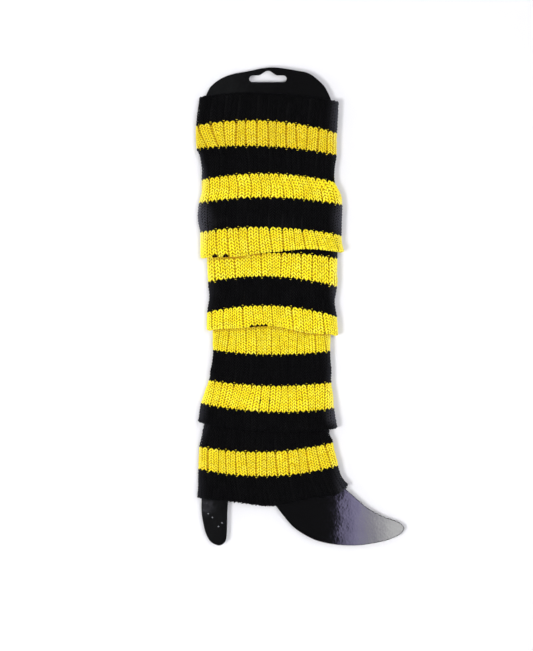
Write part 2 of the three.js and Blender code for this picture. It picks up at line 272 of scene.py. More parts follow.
# Lines of the knit from the hem up, in mm: left, right, y_left, y_middle, y_right, swell_left, swell_right,
# lean_left, turn, lean_right, open. turn is how far the ribs have crept round the tube there, the leans are
# how much further at its sides, and open is how far the ribs are pulled apart, from 0 to 1.
TIER_4 = [
    (-60.8, 67.6, 6.8, -0.6, 10.6, 2.0, 3.0, 0, 0, 3.5, 0.6),
    (-60.2, 62.6, 16.5, 10.8, 20.8, 0.3, 1.0, 0, 0, 2.8, 0.6),
    (-59.9, 58.4, 31.0, 24.7, 33.6, 0, 0, 0, 0, 2.0, 0.7),
    (-58.9, 54.6, 49.7, 45.1, 53.1, 0, 0, 0, 0, 0.3, 0.6),
    (-56.6, 51.8, 61.0, 56.0, 60.0, 0, 0, 0, 0, 0, 0.4),
    (-54.9, 51.6, 70.6, 63.3, 65.5, 0, 0, 0, 0, 0, 0.2),
    (-53.2, 51.4, 81.1, 73.8, 76.0, 0, 0, 0, 0, 0, 0.2),
]
TIER_3 = [
    (-60.2, 58.4, 70.0, 62.6, 64.8, 0, 0, 5.0, 0, -4.0, 0.3),
    (-57.6, 55.6, 86.7, 79.5, 82.5, 0, 0, 3.6, 0, -2.2, 0.3),
    (-54.6, 54.8, 95.6, 89.6, 92.8, 0, 0, 2.0, 0, -0.6, 0.2),
    (-50.8, 53.3, 105.8, 101.2, 104.1, 0, 0, 0, 0, 0.3, 0.4),
    (-48.7, 52.9, 118.4, 114.4, 117.2, 0, 0, -0.6, 0, 1.0, 0.3),
    (-47.4, 52.0, 131.8, 127.9, 130.9, 0, 0, -1.0, 0, 1.5, 0.3),
    (-48.0, 52.8, 148.8, 152.6, 144.5, -1.1, -3.0, 1.2, 0, -1.5, 0.3),
    (-47.6, 52.8, 159.3, 163.1, 155.0, -1.1, -3.0, 1.2, 0, -1.5, 0.3),
]
TIER_2 = [
    (-52.9, 59.2, 148.0, 151.8, 143.7, -1.1, -3.0, 0, 0.8, 0, 0.2),
    (-52.5, 57.9, 163.6, 169.2, 159.8, 0, 0, 0, 0, 0, 0.3),
    (-50.8, 56.4, 176.5, 181.6, 172.6, 0, 0, 0, 0, 0, 0.3),
    (-51.7, 57.5, 189.6, 194.2, 185.7, 0, 0, 0, 0, 0.3, 0.2),
    (-53.0, 58.4, 213.4, 215.0, 210.4, 0.2, 0.6, -0.8, 0, -0.5, 0.3),
    (-52.8, 57.3, 221.3, 226.4, 225.6, -1.6, 1.6, -0.8, 0, -0.5, 0.3),
]
TIER_1 = [
    (-58.3, 64.0, 209.5, 214.8, 214.6, -1.9, 1.9, 0, 0.5, 1.2, 0.3),
    (-58.5, 61.9, 231.6, 235.9, 228.7, 0, 0, 0, -0.5, -1.2, 0.5),
    (-60.4, 62.2, 243.8, 248.4, 241.6, 0, 0, -0.8, 0.2, -0.5, 0.4),
    (-59.3, 62.2, 256.7, 261.4, 255.0, 0, 0, -1.4, 0.8, 0, 0.3),
    (-56.9, 61.0, 267.0, 271.4, 264.6, 0, 0, -0.3, 0, 0, 0.4),
    (-56.4, 56.2, 276.3, 281.4, 274.1, 0, 0, 1.0, -0.8, 0, 0.5),
    (-57.4, 56.0, 289.4, 293.0, 286.0, 0, 0, 3.0, -0.4, 0, 0.7),
    (-59.0, 56.6, 297.6, 299.8, 292.4, 0, 0, 3.9, -0.2, 0, 0.9),
    (-61.4, 57.3, 302.8, 304.7, 297.5, 0, 0, 4.4, 0, 0, 1.0),
    (-61.9, 58.0, 322.2, 326.4, 315.8, 0, 0, -4.6, 0, 0, 1.0),
    (-58.9, 59.6, 346.4, 349.8, 342.4, 0.6, 0, -5.5, 0, 0, 0.8),
]
HEM_CORNER = (6.8, -0.6, 26.0)  # how far the hem's right corner kicks up, from its middle line to where that ends
LEAN_REACH = 0.33  # how far in from a side the ribs lean with it, as a share of the width
# Soft creases in mm: side is 1 in front and -1 behind, then where one starts and ends, across and up, how
# deep it is (below 0 for a ridge) and half its width.
CREASES = {
    "tier_1": [
        (1, -62, 283, -22, 279, 1.1, 7.0), (1, 66, 281, 30, 287, 1.3, 8.0), (1, -34, 262, 12, 256, -0.9, 6.0),
        (1, 20, 268, 62, 258, -1.0, 7.5), (1, -60, 241, -38, 246, 1.2, 5.0), (1, -14, 232, 26, 238, 0.8, 6.5),
        (1, 40, 231, 66, 226, 1.4, 5.0), (1, -50, 318, -8, 312, -0.7, 9.0), (1, 10, 306, 58, 299, -0.8, 8.0),
        (1, -10, 342, 44, 334, -0.5, 6.0), (-1, -60, 280, -10, 286, -0.9, 7.5), (-1, 60, 262, 8, 256, -1.1, 6.5),
        (-1, -56, 312, 20, 306, -0.7, 9.0), (-1, 54, 330, 12, 324, -0.6, 7.0),
    ],
    "tier_2": [
        (1, -54, 186, -20, 181, 0.9, 5.0), (1, 58, 178, 24, 184, 1.0, 6.0), (1, -16, 176, 22, 171, -0.7, 5.5),
        (1, 20, 203, 60, 196, -1.2, 5.5), (1, -44, 203, -12, 206, -0.8, 4.5), (-1, -50, 190, 6, 184, -0.8, 6.0),
        (-1, 56, 200, 20, 206, -0.9, 5.0), (-1, 40, 176, -2, 172, 0.8, 6.0),
    ],
    "tier_3": [
        (1, -52, 108, -20, 113, -0.9, 6.0), (1, 56, 100, 22, 107, 0.9, 6.0), (1, -30, 92, 8, 87, 0.8, 5.5),
        (1, 14, 122, 54, 128, -0.8, 6.5), (1, -48, 134, -14, 129, -0.7, 6.0), (-1, 52, 112, 4, 106, -0.8, 6.5),
        (-1, -54, 94, -16, 100, -0.9, 5.0), (-1, 10, 130, 50, 136, -0.7, 6.0),
    ],
    "tier_4": [
        (1, -60, 44, -26, 39, -0.8, 6.0), (1, 22, 36, 62, 26, -1.1, 6.0), (1, -20, 14, 20, 10, -0.6, 5.0),
        (1, 30, 52, 54, 48, -0.7, 4.0), (-1, -56, 30, -4, 36, -0.7, 6.5), (-1, 60, 20, 26, 26, -0.9, 5.0),
    ],
}
CREASE_FADE = 7.0  # over how many mm above a fold's turn the creases run out
# Each tier's stripes from its top down: yarn, where the stripe ends on the middle of the front, and its
# courses. The last stripes run on round the fold's edge.
YELLOW, BLACK = "yellow", "black"
STRIPES = {
    "tier_1": (TIER_1, [(BLACK, 326.4, 10), (YELLOW, 304.7, 9), (BLACK, 281.4, 10), (YELLOW, 261.4, 8),
                        (BLACK, 235.9, 11), (YELLOW, 212.2, 10), (BLACK, 190, 9)]),
    "tier_2": (TIER_2, [(BLACK, 214.2, 5), (YELLOW, 194.2, 8), (BLACK, 169.2, 10), (YELLOW, 148.6, 9),
                        (BLACK, 127, 9)]),
    "tier_3": (TIER_3, [(BLACK, 154.4, 4), (YELLOW, 127.9, 11), (BLACK, 101.2, 11), (YELLOW, 79.5, 9),
                        (BLACK, 54, 11)]),
    "tier_4": (TIER_4, [(BLACK, 45.1, 12), (YELLOW, 24.7, 9), (BLACK, -0.6, 11)]),
}
FOLDED = ("tier_1", "tier_2", "tier_3")
HIDDEN_COURSES = 1.5  # how many courses are stitched above the fold that hides them
UNDER_FOLD = 7.6  # how far the stitches run on past the start of a fold's edge, in mm


def curve_through(rows, key, at):
    """Every column of a table at the values at of its column key, on a smooth curve through the rows."""
    rows = np.asarray(rows, dtype=float)
    knots = rows[:, key]
    slopes = np.empty_like(rows)
    slopes[1:-1] = (rows[2:] - rows[:-2]) / (knots[2:] - knots[:-2])[:, None]
    slopes[0] = (rows[1] - rows[0]) / (knots[1] - knots[0])
    slopes[-1] = (rows[-1] - rows[-2]) / (knots[-1] - knots[-2])
    at = np.clip(at, knots[0], knots[-1])
    i = np.clip(np.searchsorted(knots, at, side="right") - 1, 0, len(knots) - 2)
    gap = knots[i + 1] - knots[i]
    t = ((at - knots[i]) / gap)[..., None]
    gap = gap[..., None]
    return (
        rows[i] * (2 * t**3 - 3 * t**2 + 1)
        + slopes[i] * gap * (t**3 - 2 * t**2 + t)
        + rows[i + 1] * (3 * t**2 - 2 * t**3)
        + slopes[i + 1] * gap * (t**3 - t**2)
    )


def unevenness(share, y):
    """How far a rib wanders round the tube from its even place, in mm, as a hand-pulled knit lies."""
    around = 2 * math.pi * share
    return (
        0.9 * np.sin(3 * around + y / 31.0)
        + 0.6 * np.sin(7 * around - y / 19.0 + 1.0)
        + 0.45 * np.sin(11 * around + y / 23.0 + 2.0)
        + 0.25 * np.sin(17 * around - y / 13.0 + 4.0)
    )


def hollow(creases, front, x, y):
    """How far the creases lower the knit at a place, in mm. front is 1 in front, 0 at the sides and -1 behind."""
    deep = np.zeros_like(x)
    for side, x_start, y_start, x_end, y_end, depth, half in creases:
        long_x, long_y = x_end - x_start, y_end - y_start
        along = ((x - x_start) * long_x + (y - y_start) * long_y) / (long_x**2 + long_y**2)
        beside = ((x - x_start) * long_y - (y - y_start) * long_x) / math.hypot(long_x, long_y)
        past = np.maximum(np.abs(along - 0.5) - 0.3, 0) / 0.25
        faces_it = np.clip(0.4 + side * front, 0, 1)
        deep += depth * np.exp(-((beside / half) ** 2) - past**2) * faces_it**2 * (3 - 2 * faces_it)
    return deep


def course_line(values, across):
    """How far up a course lies, in mm, across from its left side at 0 to its right one at 1. values is its line."""
    y_left, y_middle, y_right, swell_left, swell_right = values
    return (
        y_left * 2 * (across - 0.5) * (across - 1)
        - y_middle * 4 * across * (across - 1)
        + y_right * 2 * across * (across - 0.5)
        + np.sin(2 * math.pi * across) ** 2 * np.where(across < 0.5, swell_left, swell_right)
    )


def knit_point(tier, share, run, depth):
    """A point of the knit, in mm from the slot's middle, the hem and the card's middle layer. share is how far
    it is round the tube from the left side, run how far down from the tier's top line, and depth how far
    under the crests."""
    share, run, depth = np.broadcast_arrays(*(np.asarray(a, dtype=float) for a in (share, run, depth)))
    lines = STRIPES[tier][0]
    bottom, top = lines[0][3], lines[-1][3]
    bend = WALL  # the radius of a fold's edge
    over = run - (top - bottom - bend)
    if tier in FOLDED:
        angle = np.clip(over / bend, 0, math.pi)
        back = np.maximum(over - math.pi * bend, 0)
        y = np.where(over < 0, top - run, bottom)
        rise = np.where(over < 0, curve_through(DRAPE, 0, y - bottom)[..., 1], FOLD_RISE)
        inset = np.where(over < 0, depth, bend - (bend - depth) * np.cos(angle))
        up = np.where(over < 0, 0, bend - (bend - depth) * np.sin(angle) + back)
    else:
        y = top - run
        rise = np.full_like(y, SINGLE_RISE)
        inset, up = depth, np.minimum(y - bottom, 0) + np.maximum(y - top, 0)
    left, right, y_left, y_middle, y_right, swell_left, swell_right, lean_left, turn, lean_right, _ = np.moveaxis(
        curve_through(lines, 3, y), -1, 0
    )
    keep_out = np.clip(-over / CREASE_FADE, 0, 1) if tier in FOLDED else 1.0
    flat = right - left - 2 * rise
    corner = math.pi / 2 * rise
    total = 2 * (flat + 2 * corner)
    from_left = 1 - np.abs(1 - 2 * (share % 1.0))
    near_left, near_right = (np.clip(1 - a / LEAN_REACH, 0, 1) for a in (from_left, 1 - from_left))
    lean = lean_left * near_left**2 * (3 - 2 * near_left) + lean_right * near_right**2 * (3 - 2 * near_right)
    round_share = (share + (turn + lean + unevenness(share, y)) / total) % 1.0
    front = np.where(round_share < 0.5, 1.0, -1.0)
    along = np.where(round_share < 0.5, round_share, 1 - round_share) * total
    over_left = np.minimum(along, corner) / rise
    over_right = np.maximum(along - corner - flat, 0) / rise
    out_x = np.sin(over_right) - np.cos(over_left)
    out_z = front * np.sin(over_left) * np.cos(over_right)
    x = left + rise + np.clip(along - corner, 0, flat)
    lowered = hollow(CREASES[tier], out_z, x + out_x * rise, y) * keep_out
    out = np.maximum(rise - lowered, SINGLE_RISE) - inset
    across = (x + out_x * rise - left) / (right - left)
    line = course_line((y_left, y_middle, y_right, swell_left, swell_right), across)
    if tier == "tier_4":
        kick, kick_start, kick_end = HEM_CORNER
        fade = np.clip((kick_end - y) / (kick_end - kick_start), 0, 1)
        line = line + kick * fade**2 * np.clip((across - 0.9) / 0.1, 0, 1) ** 1.8
    resting = np.maximum(depth, STITCH_REACH) - REST_HEIGHT
    return np.stack([x + out_x * out, line + up, np.maximum(out_z * out, resting)], axis=-1)


def wall_of(rings):
    """A closed mesh from rings of points that go down the outside, round the lower edge and up the inside."""
    count = len(rings[0])
    points = np.vstack(rings)
    i = np.arange(len(rings))[:, None]
    k = np.arange(count)[None, :]
    j, m = (i + 1) % len(rings), (k + 1) % count
    faces = np.stack([i * count + k, j * count + k, j * count + m, i * count + m], axis=-1).reshape(-1, 4)
    mesh = bpy.data.meshes.new("knit")
    mesh.from_pydata(placed(points).tolist(), [], faces.tolist())
    return mesh


def course_rows(lines, stripes):
    """Each course from the top down: its yarn, and where it starts and ends below the tier's top line."""
    top = lines[-1][3]
    rows, start = [], top
    for yarn, end, courses in stripes:
        edges = top - np.linspace(start, end, courses + 1)
        rows += [(yarn, a, b) for a, b in zip(edges, edges[1:])]
        start = end
    return rows


# Acrylic rib knit, the layer seen between stitches, matt. In the yellow stripes it is painted shade, a dark ochre, so
# the gaps and grooves read as warm orange-brown; in the black stripes it is plain black.
FIBRE = 0.3  # spacing of the yarn's fibres in mm


def shaded_knit(name, hex_colour):
    material, tree, shader = new_material(name)
    place = add_node(tree, "ShaderNodeTexCoord").outputs["Object"]
    fibres = add_node(tree, "ShaderNodeTexNoise", Vector=place, Scale=1 / (FIBRE * MM), Detail=3.0)
    fuzz = add_node(tree, "ShaderNodeBump", Strength=0.6, Distance=0.15 * MM, Height=fibres.outputs["Fac"])
    tree.links.new(fuzz.outputs["Normal"], shader.inputs["Normal"])
    shader.inputs["Base Color"].default_value = linear(hex_colour)
    shader.inputs["Roughness"].default_value = 0.95
    shader.inputs["Specular IOR Level"].default_value = 0.2
    return material


# The yellow inner layer is painted shade, darker than the yarn; the black one is the yarn's own black.
core_yellow_painted_shade = shaded_knit("yellow_rib_knit_inner_layer_painted_shade", "#A07C00")
core_black = shaded_knit("black_rib_knit_inner_layer", "#050506")


def tier_shell(tier, lines, stripes):
    """The inner layer of one tier, closed, with its faces in the colour of their stripe, the yellow ones in painted
    shade.
    """
    folded = tier in FOLDED
    bottom, top = lines[0][3], lines[-1][3]
    share = np.arange(RIBS * 6) / (RIBS * 6)
    place = np.arange(RIBS * 6) % 6
    depth = np.array([GROOVE_DEPTH, 1.3, CORE_DEPTH, CORE_DEPTH + 0.15, CORE_DEPTH, 1.3])[place]
    rows = course_rows(lines, stripes)
    end = top - bottom + (0 if folded else -0.4)
    last = top - bottom - WALL + math.pi * WALL + FOLD_REACH - WALL if folded else end
    runs = [0.4] + [b for _, _, b in rows if b < last - 1.0] + [last]
    rings = [knit_point(tier, share, run, depth) for run in runs]
    if folded:
        lift = top - bottom - FOLD_REACH - TURN_REACH
        inner = np.linspace(lift, 0.4, 6)
    else:
        inner = np.linspace(end, 0.4, 6)
    rings += [knit_point(tier, share, run, WALL - 0.05) for run in inner]
    mesh = wall_of(rings)
    mesh.materials.append(core_yellow_painted_shade)
    mesh.materials.append(core_black)
    yarns = [1] * len(rings)
    for i, run in enumerate(runs[:-1]):
        middle = (run + runs[i + 1]) / 2
        yarn = next((y for y, a, b in rows if a <= middle < b), BLACK)
        yarns[i] = 0 if yarn == YELLOW else 1
    mesh.polygons.foreach_set("material_index", np.repeat(yarns, len(share)))
    mesh.shade_smooth()
    return mesh_object(tier + "_knit", mesh)


shells = {}
for tier, (lines, stripes) in STRIPES.items():
    shells[tier] = tier_shell(tier, lines, stripes)

# Knitted tube, its stitches
# Each knit stitch shows as two plump legs of 4-ply acrylic that meet in a point towards the mouth, and each
# purl stitch as a low rung across the groove. They stand in 84 wales round the tube, are built once and set
# along every course.
WALE = 3.6  # width of a knit wale in mm
WALE_SHARE = (0.475, 0.43)  # its share of a rib's pitch, where the ribs are closed and where they are pulled open
COURSE = 2.38  # height of a course in mm
LEG = 1.14  # thickness of the yarn in a stitch's leg, in mm
PURL = 2.6  # width of a purl rung in mm
RUNG = 0.85  # and the thickness of its yarn
PRESSED = 0.05  # how far the yarn pressed flat under the folds stays off the surface, in mm
EDGE_LOOP = 1.5  # thickness of the doubled yarn along the mouth and the hem
KNIT_SHADE = 0.3  # painted shade on knit wales pulled open; it also darkens the top and bottom stripes, where less light falls
CHANGE_RUNG = {YELLOW: (0.75, 0.2), BLACK: (1.45, 0.3)}  # its rungs where it ends: fullness and shade
SEED = 7
chance = np.random.default_rng(SEED)


def stitch_tree(name, legs, ring_count, sides):
    """A Geometry Nodes tree that sets one stitch on each point. legs are Bezier paths in wales, courses and mm."""
    tree = bpy.data.node_groups.new(name, "GeometryNodeTree")
    tree.interface.new_socket("Geometry", in_out="INPUT", socket_type="NodeSocketGeometry")
    for label, default in (("Wale width", WALE * MM), ("Course height", COURSE * MM), ("Yarn thickness", LEG * MM)):
        tree.interface.new_socket(label, in_out="INPUT", socket_type="NodeSocketFloat").default_value = default
    tree.interface.new_socket("Yarn", in_out="INPUT", socket_type="NodeSocketMaterial")
    tree.interface.new_socket("Geometry", in_out="OUTPUT", socket_type="NodeSocketGeometry")
    inputs = add_node(tree, "NodeGroupInput").outputs
    along = add_node(tree, "GeometryNodeSplineParameter").outputs["Factor"]
    from_middle = add_node(tree, "ShaderNodeMath", {"operation": "MULTIPLY_ADD"}, _0=along, _1=2.0, _2=-1.0)
    squared = add_node(tree, "ShaderNodeMath", {"operation": "POWER"}, _0=from_middle.outputs[0], _1=2.0)
    swell = add_node(tree, "ShaderNodeMath", {"operation": "MULTIPLY_ADD"}, _0=squared.outputs[0], _1=-0.5, _2=1.0)
    half = add_node(tree, "ShaderNodeMath", {"operation": "MULTIPLY"}, _0=inputs["Yarn thickness"], _1=0.5)
    profile = add_node(tree, "GeometryNodeCurvePrimitiveCircle", Resolution=sides, Radius=1.0)
    radius = add_node(tree, "ShaderNodeMath", {"operation": "MULTIPLY"}, _0=swell.outputs[0], _1=half.outputs[0])
    one = add_node(tree, "GeometryNodeJoinGeometry")
    round_yarn = add_node(tree, "GeometryNodeStoreNamedAttribute", {"data_type": "FLOAT_VECTOR"},
                          Geometry=profile.outputs["Curve"], Name="ring",
                          Value=add_node(tree, "GeometryNodeInputPosition").outputs[0])
    for leg in legs:
        ends = []
        for x, y, z in leg:
            over = add_node(tree, "ShaderNodeMath", {"operation": "MULTIPLY"}, _0=inputs["Wale width"], _1=x)
            up = add_node(tree, "ShaderNodeMath", {"operation": "MULTIPLY"}, _0=inputs["Course height"], _1=y)
            ends.append(add_node(tree, "ShaderNodeCombineXYZ", X=over.outputs[0], Y=up.outputs[0], Z=z * MM))
        path = add_node(tree, "GeometryNodeCurvePrimitiveBezierSegment", Resolution=12, Start=ends[0].outputs[0],
                        Start__Handle=ends[1].outputs[0], End__Handle=ends[2].outputs[0], End=ends[3].outputs[0])
        even = add_node(tree, "GeometryNodeResampleCurve", Curve=path.outputs[0], Count=ring_count)
        measured = add_node(tree, "GeometryNodeStoreNamedAttribute", {"data_type": "FLOAT"},
                            Geometry=even.outputs[0], Name="along", Value=along)
        tube = add_node(tree, "GeometryNodeCurveToMesh", Curve=measured.outputs[0],
                        Profile__Curve=round_yarn.outputs[0], Scale=radius.outputs[0], Fill__Caps=True)
        tree.links.new(tube.outputs[0], one.inputs[0])
    out = add_node(tree, "GeometryNodeInputNamedAttribute", {"data_type": "FLOAT_VECTOR"}, Name="out")
    up = add_node(tree, "GeometryNodeInputNamedAttribute", {"data_type": "FLOAT_VECTOR"}, Name="up")
    size = add_node(tree, "GeometryNodeInputNamedAttribute", {"data_type": "FLOAT_VECTOR"}, Name="size")
    facing = add_node(tree, "FunctionNodeAxesToRotation", {"primary_axis": "Z", "secondary_axis": "Y"},
                      Primary__Axis=out.outputs[0], Secondary__Axis=up.outputs[0])
    set_out = add_node(tree, "GeometryNodeInstanceOnPoints", Points=inputs["Geometry"], Instance=one.outputs[0],
                       Rotation=facing.outputs[0], Scale=size.outputs[0])
    draw = add_node(tree, "FunctionNodeRandomValue", {"data_type": "FLOAT"}, Seed=SEED)
    toned = add_node(tree, "GeometryNodeStoreNamedAttribute", {"data_type": "FLOAT", "domain": "INSTANCE"},
                     Geometry=set_out.outputs[0], Name="tone", Value=draw.outputs[1])
    real = add_node(tree, "GeometryNodeRealizeInstances", Geometry=toned.outputs[0])
    finish = add_node(tree, "GeometryNodeSetMaterial", Geometry=real.outputs[0], Material=inputs["Yarn"])
    group_out = add_node(tree, "NodeGroupOutput")
    tree.links.new(finish.outputs[0], group_out.inputs[0])
    return tree


knit_tree = stitch_tree(
    "Knit stitches",
    [[(side * 0.44, -0.64, -0.62), (side * 0.40, -0.24, 0.42), (side * 0.14, 0.24, 0.48), (side * 0.02, 0.70, -0.42)]
     for side in (-1, 1)],
    4, 5,
)
purl_tree = stitch_tree(
    "Purl stitches",
    [[(-0.52, 0.22, -0.55), (-0.34, -0.20, 0.40), (0.34, -0.20, 0.40), (0.52, 0.22, -0.55)]],
    4, 4,
)


def stitches_on(name, tree, points, values, yarn):
    """The stitches of one tree on points in mm, as one plain mesh. values sets the tree's named inputs. shade is how
    deep in shade a stitch lies, from 0 to 1."""
    cloud = bpy.data.meshes.new(name)
    cloud.from_pydata(placed(points["at"]).tolist(), [], [])
    for key in ("out", "up", "size"):
        cloud.attributes.new(key, "FLOAT_VECTOR", "POINT").data.foreach_set("vector", points[key].ravel())
    cloud.attributes.new("shade", "FLOAT", "POINT").data.foreach_set("value", points["shade"].ravel())
    holder = mesh_object(name, cloud)
    modifier = holder.modifiers.new("Stitches", "NODES")
    sockets = {s.name: s.identifier for s in tree.interface.items_tree if s.in_out == "INPUT"}
    modifier.node_group = tree
    for label, value in {**values, "Yarn": yarn}.items():
        modifier[sockets[label]] = value
    bpy.context.view_layer.update()
    made = bpy.data.meshes.new_from_object(holder.evaluated_get(bpy.context.evaluated_depsgraph_get()))
    bpy.data.objects.remove(holder)
    made.shade_smooth()
    return made


def facing_of(tier, share, run, depth):
    """Where points of the knit are, which way they face, which way the knit runs up, and their spacing in mm."""
    step = 0.4
    at = knit_point(tier, share, run, depth)
    round_step = step / 240
    wide = knit_point(tier, share + round_step, run, depth) - knit_point(tier, share - round_step, run, depth)
    down = knit_point(tier, share, run + step / 2, depth) - knit_point(tier, share, run - step / 2, depth)
    out = np.cross(down, wide)
    out /= np.linalg.norm(out, axis=-1, keepdims=True) + 1e-12
    up = -down / (np.linalg.norm(down, axis=-1, keepdims=True) + 1e-12)
    return at, out, up, np.linalg.norm(wide, axis=-1) / (2 * round_step), np.linalg.norm(down, axis=-1) / step


# Acrylic yarn: a soft 4-ply of fine dull fibres with a little sheen at the rim of each loop. Each stitch
# takes the dye and the light a little differently, and the fibres give a fine fuzz, drawn coarse enough to
# show close up. Down in a groove or under a fold, painted shade turns the yellow to a warm brown, for the light that
# has bounced off the yarn around, and at the rounded sides, where the fuzz catches the light, a painted sheen gives a
# pale bloom.
PLIES = 3
PLY_TURNS = 0.8  # how far the plies turn round the yarn along one leg of a stitch
DIVE_SHADE = 0.85  # how much painted shade darkens the ends of each leg where they dive under their neighbours


def acrylic_yarn(name, dyes, dive_shade_colour, shadow, painted_sheen_colour, gloss, sheen, sheen_colour):
    material, tree, shader = new_material(name)
    values = {key: add_node(tree, "ShaderNodeAttribute", {"attribute_name": key}).outputs
              for key in ("ring", "along", "tone", "shade", "painted_sheen")}
    parts = add_node(tree, "ShaderNodeSeparateXYZ", Vector=values["ring"]["Vector"]).outputs
    along = values["along"]["Fac"]
    angle = add_node(tree, "ShaderNodeMath", {"operation": "ARCTAN2"}, _0=parts["Y"], _1=parts["X"])
    twist = add_node(tree, "ShaderNodeMath", {"operation": "MULTIPLY_ADD"}, _0=along, _1=PLY_TURNS * 2 * math.pi,
                     _2=angle.outputs[0])
    strands = add_node(tree, "ShaderNodeMath", {"operation": "MULTIPLY"}, _0=twist.outputs[0], _1=float(PLIES))
    plies = add_node(tree, "ShaderNodeMath", {"operation": "SINE"}, _0=strands.outputs[0])
    place = add_node(tree, "ShaderNodeTexCoord").outputs["Object"]
    cloudy = add_node(tree, "ShaderNodeTexNoise", Vector=place, Scale=1 / (9 * MM), Detail=2.0).outputs["Fac"]
    mixed = add_node(tree, "ShaderNodeMath", {"operation": "MULTIPLY"}, _0=cloudy, _1=0.5)
    both = add_node(tree, "ShaderNodeMath", {"operation": "MULTIPLY_ADD"}, _0=values["tone"]["Fac"], _1=0.5,
                    _2=mixed.outputs[0])
    dye = add_node(tree, "ShaderNodeValToRGB", Fac=both.outputs[0])
    ramp = dye.color_ramp
    ramp.elements[0].position, ramp.elements[0].color = 0.15, linear(dyes[0])
    ramp.elements[1].position, ramp.elements[1].color = 0.85, linear(dyes[2])
    ramp.elements.new(0.5).color = linear(dyes[1])
    # Painted shade at the ends of each leg, where it dives under its neighbours.
    from_middle = add_node(tree, "ShaderNodeMath", {"operation": "MULTIPLY_ADD"}, _0=along, _1=2.0, _2=-1.0)
    to_end = add_node(tree, "ShaderNodeMath", {"operation": "ABSOLUTE"}, _0=from_middle.outputs[0])
    dive_shade = add_node(tree, "ShaderNodeMapRange", {"interpolation_type": "SMOOTHSTEP"}, Value=to_end.outputs[0],
                      From__Min=0.4, From__Max=1.0, To__Min=0.0, To__Max=DIVE_SHADE)
    with_dive_shade = add_node(tree, "ShaderNodeMix", {"data_type": "RGBA"}, _0=dive_shade.outputs["Result"],
                     _6=dye.outputs["Color"], _7=linear(dive_shade_colour))
    # Painted shade: the shadow colour mixed in by the shade attribute.
    shaded = add_node(tree, "ShaderNodeMix", {"data_type": "RGBA"}, _0=values["shade"]["Fac"],
                      _6=with_dive_shade.outputs[2], _7=linear(shadow))
    # Painted sheen: a pale colour mixed in where the tube's sides round away.
    with_painted_sheen = add_node(tree, "ShaderNodeMix", {"data_type": "RGBA"}, _0=values["painted_sheen"]["Fac"],
                       _6=shaded.outputs[2], _7=linear(painted_sheen_colour))
    fibres = add_node(tree, "ShaderNodeTexNoise", Vector=place, Scale=1 / (FIBRE * MM), Detail=4.0, Roughness=0.6)
    plied = add_node(tree, "ShaderNodeBump", Strength=0.8, Distance=0.07 * MM, Height=plies.outputs[0])
    fuzz = add_node(tree, "ShaderNodeBump", Strength=0.5, Distance=0.12 * MM, Height=fibres.outputs["Fac"],
                    Normal=plied.outputs["Normal"])
    tree.links.new(with_painted_sheen.outputs[2], shader.inputs["Base Color"])
    tree.links.new(fuzz.outputs["Normal"], shader.inputs["Normal"])
    shader.inputs["Roughness"].default_value = 0.85
    shader.inputs["Specular IOR Level"].default_value = gloss
    shader.inputs["Sheen Weight"].default_value = sheen
    shader.inputs["Sheen Roughness"].default_value = 0.4
    shader.inputs["Sheen Tint"].default_value = linear(sheen_colour)
    return material


yarns = {
    YELLOW: acrylic_yarn("yellow_acrylic_yarn", ("#FBE612", "#FFF21E", "#FFF84A"), "#9C8600", "#BC8606", "#F2E684",
                         0.3, 0.20, "#FFF6B0"),
    BLACK: acrylic_yarn("black_acrylic_yarn", ("#020203", "#040405", "#070708"), "#020203", "#020203", "#55555D",
                        0.05, 0.08, "#6A6C78"),
}
# Painted sheen where the tube rounds away at its sides: up the tube, then how much at the left side and how
# far in it reaches, and the same at the right. Its roundest sides get the most.
PAINTED_SHEEN = [
    (-5, 0.18, 10, 0.3, 8), (15, 0.18, 10, 0.3, 8), (45, 0.15, 6, 0.08, 5), (60, 0.15, 6, 0.08, 5),
    (74, 0.25, 9, 0.8, 12), (88, 0.2, 8, 0.5, 9), (113, 0.03, 6, 0.25, 8), (150, 0.1, 8, 0.3, 8),
    (178, 0.14, 10, 0.42, 8), (215, 0.3, 9, 0.4, 8), (236, 0.9, 15, 0.7, 12), (248, 1.0, 17, 0.8, 12),
    (262, 0.8, 10, 0.5, 8), (291, 0.3, 5, 0.12, 5), (320, 0.12, 4, 0.5, 10), (352, 0.12, 4, 0.5, 10),
]
PEEKS = {  # where the black stripe inside a fold shows at its edge: from, to across the front, in mm
    "tier_1": [(-48.0, -43.0), (-38.6, -33.0)],
    "tier_2": [(-16.5, -0.5)],
}
FOLD_SHADE = (0.8, 1.6, 0.22, 9.0)  # shade just under a fold's edge and how far it goes, and of the softer one beyond


def purl_yarn(rows, number):
    """The yarn that shows in the groove beside a course. Where the stripe changes, the two yarns show by turns."""
    own = rows[number][0]
    above, below = rows[max(number - 1, 0)][0], rows[min(number + 1, len(rows) - 1)][0]
    return below if below != own else above


def shade_under(tier, at, out):
    """How much the fold above shades stitches in front, from 0 to 1."""
    order = list(STRIPES)
    if tier == order[0]:
        return np.zeros(len(at))
    edge = STRIPES[order[order.index(tier) - 1]][0][0]
    gap = course_line(edge[2:7], np.clip((at[:, 0] - edge[0]) / (edge[1] - edge[0]), 0, 1)) - at[:, 1]
    near, near_reach, soft, soft_reach = FOLD_SHADE
    shade = near * np.clip(1 - gap / near_reach, 0, 1) + soft * np.clip(1 - gap / soft_reach, 0, 1)
    return np.where(out[:, 2] > 0.3, shade, 0)


def painted_sheen_at(tier, at):
    """How much painted sheen lightens points of the knit, from 0 to 1."""
    values = curve_through(PAINTED_SHEEN, 0, at[:, 1])
    lines = curve_through(STRIPES[tier][0], 3, at[:, 1])
    left = values[:, 1] * np.clip(1 - (at[:, 0] - lines[:, 0]) / values[:, 2], 0, 1) ** 2
    right = values[:, 3] * np.clip(1 - (lines[:, 1] - at[:, 0]) / values[:, 4], 0, 1) ** 2
    return np.clip(left + right, 0, 1)


